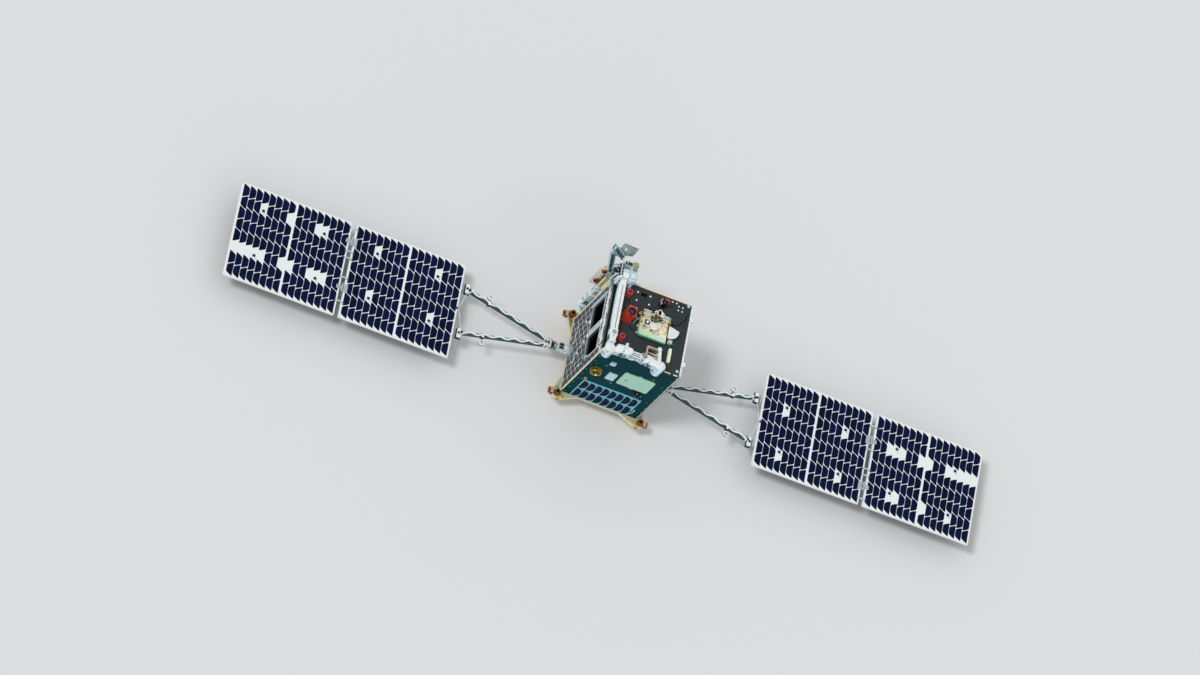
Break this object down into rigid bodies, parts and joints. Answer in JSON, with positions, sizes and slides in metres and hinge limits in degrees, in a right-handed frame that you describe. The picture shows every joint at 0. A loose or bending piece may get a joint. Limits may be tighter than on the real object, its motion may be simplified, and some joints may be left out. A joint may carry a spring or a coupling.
{
  "type": "small servicing satellite",
  "caption": "Box-shaped servicing satellite with two folding solar wings, a stowed robot arm and cameras, standing on its separation ring.",
  "frame": {"origin": "centre of the separation ring's bolt circle, on the ring's lower face", "axes": "+X along the right wing, +Z out of the payload deck, away from the ring"},
  "size_m": [5.44, 0.9101, 0.937],
  "materials": {
    "ring_metal": "machined, clear anodised",
    "gold_plate": "pale gold coated plate",
    "copper": "heat-tinted copper brown nozzles",
    "teal_skin": "dark teal coated skin",
    "cream_edge": "cream edge strip",
    "silver_lattice": "milled lattice",
    "dark_liner": "black liner sheet",
    "grey_deck": "dark grey matt coat",
    "white_paint": "white thermal paint",
    "tank_metal": "plain block for the filled tank",
    "red_paint": "red housing",
    "black_paint": "black housing and glass",
    "ivory_paint": "ivory housing",
    "gold_metal": "gold-plated metal",
    "mint_paint": "mint radiator coat",
    "pale_ceramic": "pale antenna patch",
    "pale_teal": "pale teal cell backing",
    "tan_metal": "tan anodised frame",
    "pale_metal": "pale anodised fittings",
    "grey_housing": "grey anodised housing",
    "carbon_beam": "dark fibre laminate",
    "white_cable": "white cable sleeve",
    "panel_sheet": "white-faced honeycomb sheet"
  },
  "bodies": {
    "bus": {"separation_ring": "ring_metal", "aft_deck": "gold_plate", "aft_thrusters": "copper", "lower_panel": "teal_skin", "upper_panel": "teal_skin", "corner_posts": "cream_edge", "payload_deck": "grey_deck", "deck_rails": "cream_edge", "propellant_tank": "tank_metal", "large_camera": "red_paint", "upper_camera": "red_paint", "lower_camera": "red_paint", "payload_box": "ivory_paint", "capture_mechanism": "gold_metal", "fan_reflector": "white_paint", "bar_antenna": "ivory_paint", "lower_radiator": "mint_paint", "patch_antennas": "pale_ceramic", "horn_antenna": "gold_metal", "sun_sensor": "black_paint", "body_solar_strip": "pale_teal", "flare_bracket": "gold_plate", "flare_thrusters": "copper", "shoulder_housing": "white_paint", "edge_arm_base": "white_paint", "head_post": "pale_metal", "left_panel": "silver_lattice", "left_liner": "dark_liner", "right_panel": "silver_lattice", "right_liner": "dark_liner", "right_rail": "white_paint", "right_camera": "black_paint", "right_drive_mount": "pale_metal", "left_drive_mount": "pale_metal"},
    "right_drive_head": {"right_drive_hub": "grey_housing"},
    "right_yoke_arm": {"right_yoke": "carbon_beam", "right_harness": "white_cable", "right_root_hinge_inner": "pale_metal"},
    "right_inner_wing": {"right_inner_panel": "panel_sheet", "right_root_hinge_outer": "pale_metal", "right_mid_hinge_inner": "pale_metal"},
    "right_outer_wing": {"right_outer_panel": "panel_sheet", "right_mid_hinge_outer": "pale_metal"},
    "left_drive_head": {"left_drive_hub": "grey_housing"},
    "left_yoke_arm": {"left_yoke": "carbon_beam", "left_harness": "white_cable", "left_root_hinge_inner": "pale_metal"},
    "left_inner_wing": {"left_inner_panel": "panel_sheet", "left_root_hinge_outer": "pale_metal", "left_mid_hinge_inner": "pale_metal"},
    "left_outer_wing": {"left_outer_panel": "panel_sheet", "left_mid_hinge_outer": "pale_metal"},
    "arm_upper": {"upper_arm": "white_paint"},
    "arm_lower": {"forearm": "white_paint"},
    "arm_wrist": {"wrist_link": "white_paint", "grapple_frame": "tan_metal"},
    "edge_arm": {"edge_arm_link": "white_paint"},
    "edge_wrist": {"edge_arm_wrist": "white_paint"},
    "head": {"sensor_head": "grey_housing"}
  },
  "joints": [
    {"name": "right_drive", "type": "hinge", "parent": "bus", "child": "right_drive_head", "pos_m": [0.407, 0, 0.17], "axis": [1, 0, 0], "range_deg": [0, 180]},
    {"name": "right_fold", "type": "hinge", "parent": "right_drive_head", "child": "right_yoke_arm", "pos_m": [0.407, 0, 0.17], "axis": [0, 1, 0], "range_deg": [-90, 0]},
    {"name": "right_root_hinge", "type": "hinge", "parent": "right_yoke_arm", "child": "right_inner_wing", "pos_m": [1.092, 0, 0.157], "axis": [0, 1, 0], "range_deg": [0, 180]},
    {"name": "right_mid_hinge", "type": "hinge", "parent": "right_inner_wing", "child": "right_outer_wing", "pos_m": [1.9138, 0, 0.1925], "axis": [0, 1, 0], "range_deg": [-180, 0]},
    {"name": "left_drive", "type": "hinge", "parent": "bus", "child": "left_drive_head", "pos_m": [-0.407, 0, 0.17], "axis": [-1, 0, 0], "range_deg": [0, 180]},
    {"name": "left_fold", "type": "hinge", "parent": "left_drive_head", "child": "left_yoke_arm", "pos_m": [-0.407, 0, 0.17], "axis": [0, -1, 0], "range_deg": [-90, 0]},
    {"name": "left_root_hinge", "type": "hinge", "parent": "left_yoke_arm", "child": "left_inner_wing", "pos_m": [-1.092, 0, 0.157], "axis": [0, -1, 0], "range_deg": [0, 180]},
    {"name": "left_mid_hinge", "type": "hinge", "parent": "left_inner_wing", "child": "left_outer_wing", "pos_m": [-1.9138, 0, 0.1925], "axis": [0, -1, 0], "range_deg": [-180, 0]},
    {"name": "arm_shoulder", "type": "hinge", "parent": "bus", "child": "arm_upper", "pos_m": [-0.252, 0.262, 0.871], "axis": [-1, 0, 0], "range_deg": [0, 110]},
    {"name": "arm_elbow", "type": "hinge", "parent": "arm_upper", "child": "arm_lower", "pos_m": [-0.262, -0.312, 0.874], "axis": [0, 0, -1], "range_deg": [0, 120]},
    {"name": "arm_wrist_turn", "type": "hinge", "parent": "arm_lower", "child": "arm_wrist", "pos_m": [0.098, -0.312, 0.874], "axis": [0, 0, -1], "range_deg": [0, 150]},
    {"name": "edge_arm_shoulder", "type": "hinge", "parent": "bus", "child": "edge_arm", "pos_m": [-0.285, 0.337, 0.537], "axis": [1, 0, 0], "range_deg": [0, 100]},
    {"name": "edge_arm_wrist_turn", "type": "hinge", "parent": "edge_arm", "child": "edge_wrist", "pos_m": [-0.248, 0.337, 0.245], "axis": [1, 0, 0], "range_deg": [0, 90]},
    {"name": "head_tilt", "type": "hinge", "parent": "bus", "child": "head", "pos_m": [-0.33, 0.455, 0.8], "axis": [1, 0, 0], "range_deg": [-45, 15]}
  ],
  "couplings": [
    {"joint": "right_fold", "follows": "right_root_hinge", "ratio": -0.5},
    {"joint": "right_mid_hinge", "follows": "right_root_hinge", "ratio": -1},
    {"joint": "left_fold", "follows": "left_root_hinge", "ratio": -0.5},
    {"joint": "left_mid_hinge", "follows": "left_root_hinge", "ratio": -1}
  ]
}
